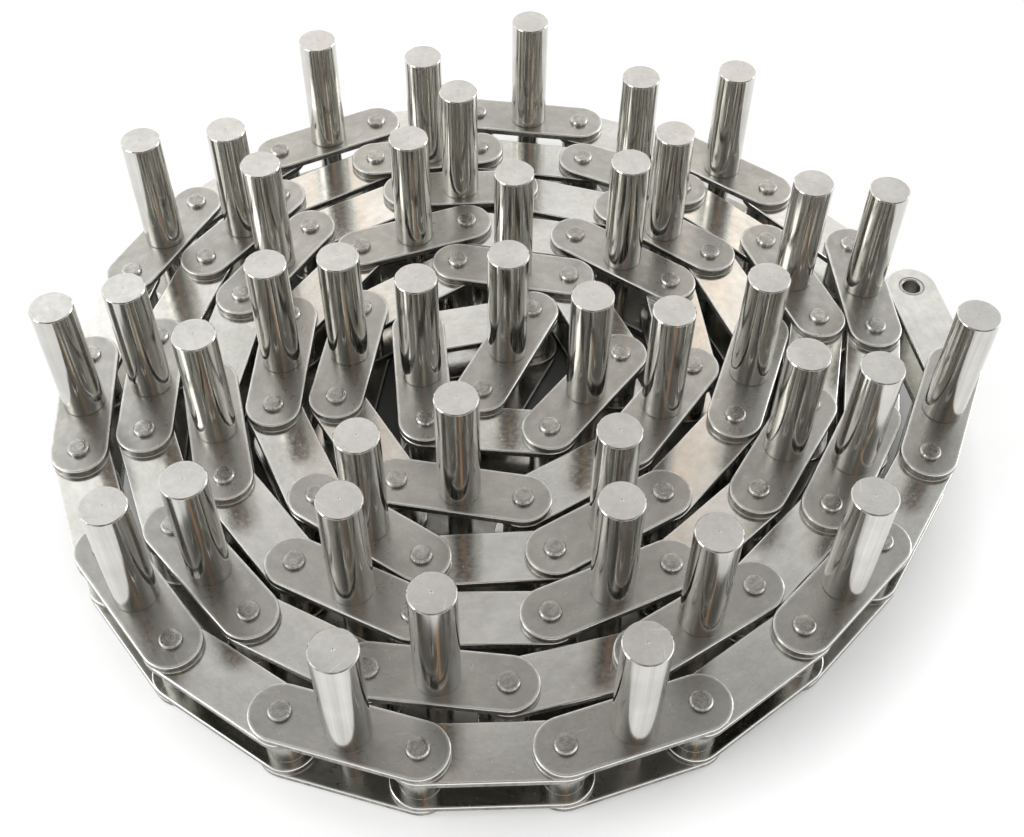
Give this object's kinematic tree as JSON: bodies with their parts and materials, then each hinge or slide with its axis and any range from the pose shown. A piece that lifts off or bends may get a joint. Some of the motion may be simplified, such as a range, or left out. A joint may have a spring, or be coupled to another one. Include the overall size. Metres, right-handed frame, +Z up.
{
  "type": "attachment roller chain",
  "caption": "Double-pitch conveyor roller chain with a plain round stud on every outer link, wound flat into a coil for storage.",
  "frame": {"origin": "on the ground plane under the middle of the coil's box", "axes": "+Z up along the pins and studs, +X to the picture's right, +Y away from the viewer"},
  "size_m": [0.2924, 0.2739, 0.0659],
  "materials": {
    "polished_stud": "turned and polished round bar, fine turning rings on its end",
    "pin_steel": "ground pin with peened, slightly dull heads",
    "roller_steel": "smooth turned roller",
    "bush_steel": "smooth rolled bush",
    "outer_plate_steel": "stamped plate, tumbled to a satin grey with bright rims",
    "inner_plate_steel": "stamped plate, tumbled to a satin grey with bright rims"
  },
  "bodies": {
    "coil": {"coil_bushes": "bush_steel", "coil_inner_lower_plates": "inner_plate_steel", "coil_inner_upper_plates": "inner_plate_steel", "coil_outer_lower_plates": "outer_plate_steel", "coil_outer_upper_plates": "outer_plate_steel", "coil_pins": "pin_steel", "coil_rollers": "roller_steel", "coil_studs": "polished_stud"},
    "link_01": {"link_01_bushes": "bush_steel", "link_01_lower_plate": "inner_plate_steel", "link_01_upper_plate": "inner_plate_steel"},
    "link_01_first_roller": {"link_01_first_roller": "roller_steel"},
    "link_01_second_roller": {"link_01_second_roller": "roller_steel"},
    "link_02": {"link_02_lower_plate": "outer_plate_steel", "link_02_pins": "pin_steel", "link_02_stud": "polished_stud", "link_02_upper_plate": "outer_plate_steel"},
    "link_03": {"link_03_bushes": "bush_steel", "link_03_lower_plate": "inner_plate_steel", "link_03_upper_plate": "inner_plate_steel"},
    "link_03_first_roller": {"link_03_first_roller": "roller_steel"},
    "link_03_second_roller": {"link_03_second_roller": "roller_steel"},
    "link_04": {"link_04_lower_plate": "outer_plate_steel", "link_04_pins": "pin_steel", "link_04_stud": "polished_stud", "link_04_upper_plate": "outer_plate_steel"},
    "link_05": {"link_05_bushes": "bush_steel", "link_05_lower_plate": "inner_plate_steel", "link_05_upper_plate": "inner_plate_steel"},
    "link_05_first_roller": {"link_05_first_roller": "roller_steel"},
    "link_05_second_roller": {"link_05_second_roller": "roller_steel"},
    "link_06": {"link_06_lower_plate": "outer_plate_steel", "link_06_pins": "pin_steel", "link_06_stud": "polished_stud", "link_06_upper_plate": "outer_plate_steel"},
    "link_07": {"link_07_bushes": "bush_steel", "link_07_lower_plate": "inner_plate_steel", "link_07_upper_plate": "inner_plate_steel"},
    "link_07_first_roller": {"link_07_first_roller": "roller_steel"},
    "link_07_second_roller": {"link_07_second_roller": "roller_steel"},
    "link_08": {"link_08_lower_plate": "outer_plate_steel", "link_08_pins": "pin_steel", "link_08_stud": "polished_stud", "link_08_upper_plate": "outer_plate_steel"},
    "link_09": {"link_09_bushes": "bush_steel", "link_09_lower_plate": "inner_plate_steel", "link_09_upper_plate": "inner_plate_steel"},
    "link_09_first_roller": {"link_09_first_roller": "roller_steel"},
    "link_09_second_roller": {"link_09_second_roller": "roller_steel"},
    "link_10": {"link_10_lower_plate": "outer_plate_steel", "link_10_pins": "pin_steel", "link_10_stud": "polished_stud", "link_10_upper_plate": "outer_plate_steel"},
    "link_11": {"link_11_bushes": "bush_steel", "link_11_lower_plate": "inner_plate_steel", "link_11_upper_plate": "inner_plate_steel"},
    "link_11_first_roller": {"link_11_first_roller": "roller_steel"},
    "link_11_second_roller": {"link_11_second_roller": "roller_steel"}
  },
  "joints": [
    {"name": "link_01_pivot", "type": "hinge", "parent": "link_02", "child": "link_01", "pos_m": [0.13761, 0.00535, 0.01195], "axis": [0, 0, -1], "range_deg": [0, 150]},
    {"name": "link_01_first_roller_spin", "type": "hinge", "parent": "link_01", "child": "link_01_first_roller", "pos_m": [0.13093, 0.04286, 0.01268], "axis": [0, 0, 1], "continuous": true},
    {"name": "link_01_second_roller_spin", "type": "hinge", "parent": "link_01", "child": "link_01_second_roller", "pos_m": [0.13761, 0.00535, 0.01268], "axis": [0, 0, 1], "continuous": true},
    {"name": "link_02_pivot", "type": "hinge", "parent": "link_03", "child": "link_02", "pos_m": [0.12324, -0.02994, 0.01195], "axis": [0, 0, -1], "range_deg": [0, 45]},
    {"name": "link_03_pivot", "type": "hinge", "parent": "link_04", "child": "link_03", "pos_m": [0.10352, -0.06254, 0.01195], "axis": [0, 0, -1], "range_deg": [0, 45]},
    {"name": "link_03_first_roller_spin", "type": "hinge", "parent": "link_03", "child": "link_03_first_roller", "pos_m": [0.12324, -0.02994, 0.01268], "axis": [0, 0, 1], "continuous": true},
    {"name": "link_03_second_roller_spin", "type": "hinge", "parent": "link_03", "child": "link_03_second_roller", "pos_m": [0.10352, -0.06254, 0.01268], "axis": [0, 0, 1], "continuous": true},
    {"name": "link_04_pivot", "type": "hinge", "parent": "link_05", "child": "link_04", "pos_m": [0.0777, -0.09056, 0.01195], "axis": [0, 0, -1], "range_deg": [0, 45]},
    {"name": "link_05_pivot", "type": "hinge", "parent": "link_06", "child": "link_05", "pos_m": [0.04761, -0.11393, 0.01195], "axis": [0, 0, -1], "range_deg": [0, 45]},
    {"name": "link_05_first_roller_spin", "type": "hinge", "parent": "link_05", "child": "link_05_first_roller", "pos_m": [0.0777, -0.09056, 0.01268], "axis": [0, 0, 1], "continuous": true},
    {"name": "link_05_second_roller_spin", "type": "hinge", "parent": "link_05", "child": "link_05_second_roller", "pos_m": [0.04761, -0.11393, 0.01268], "axis": [0, 0, 1], "continuous": true},
    {"name": "link_06_pivot", "type": "hinge", "parent": "link_07", "child": "link_06", "pos_m": [0.01172, -0.12671, 0.01195], "axis": [0, 0, -1], "range_deg": [0, 45]},
    {"name": "link_07_pivot", "type": "hinge", "parent": "link_08", "child": "link_07", "pos_m": [-0.02634, -0.12835, 0.01195], "axis": [0, 0, -1], "range_deg": [0, 45]},
    {"name": "link_07_first_roller_spin", "type": "hinge", "parent": "link_07", "child": "link_07_first_roller", "pos_m": [0.01172, -0.12671, 0.01268], "axis": [0, 0, 1], "continuous": true},
    {"name": "link_07_second_roller_spin", "type": "hinge", "parent": "link_07", "child": "link_07_second_roller", "pos_m": [-0.02634, -0.12835, 0.01268], "axis": [0, 0, 1], "continuous": true},
    {"name": "link_08_pivot", "type": "hinge", "parent": "link_09", "child": "link_08", "pos_m": [-0.06309, -0.11826, 0.01195], "axis": [0, 0, -1], "range_deg": [0, 45]},
    {"name": "link_09_pivot", "type": "hinge", "parent": "link_10", "child": "link_09", "pos_m": [-0.09499, -0.09743, 0.01195], "axis": [0, 0, -1], "range_deg": [0, 45]},
    {"name": "link_09_first_roller_spin", "type": "hinge", "parent": "link_09", "child": "link_09_first_roller", "pos_m": [-0.06309, -0.11826, 0.01268], "axis": [0, 0, 1], "continuous": true},
    {"name": "link_09_second_roller_spin", "type": "hinge", "parent": "link_09", "child": "link_09_second_roller", "pos_m": [-0.09499, -0.09743, 0.01268], "axis": [0, 0, 1], "continuous": true},
    {"name": "link_10_pivot", "type": "hinge", "parent": "link_11", "child": "link_10", "pos_m": [-0.11913, -0.06796, 0.01195], "axis": [0, 0, -1], "range_deg": [0, 45]},
    {"name": "link_11_pivot", "type": "hinge", "parent": "coil", "child": "link_11", "pos_m": [-0.13357, -0.0327, 0.01195], "axis": [0, 0, -1], "range_deg": [0, 45]},
    {"name": "link_11_first_roller_spin", "type": "hinge", "parent": "link_11", "child": "link_11_first_roller", "pos_m": [-0.11913, -0.06796, 0.01268], "axis": [0, 0, 1], "continuous": true},
    {"name": "link_11_second_roller_spin", "type": "hinge", "parent": "link_11", "child": "link_11_second_roller", "pos_m": [-0.13357, -0.0327, 0.01268], "axis": [0, 0, 1], "continuous": true}
  ]
}
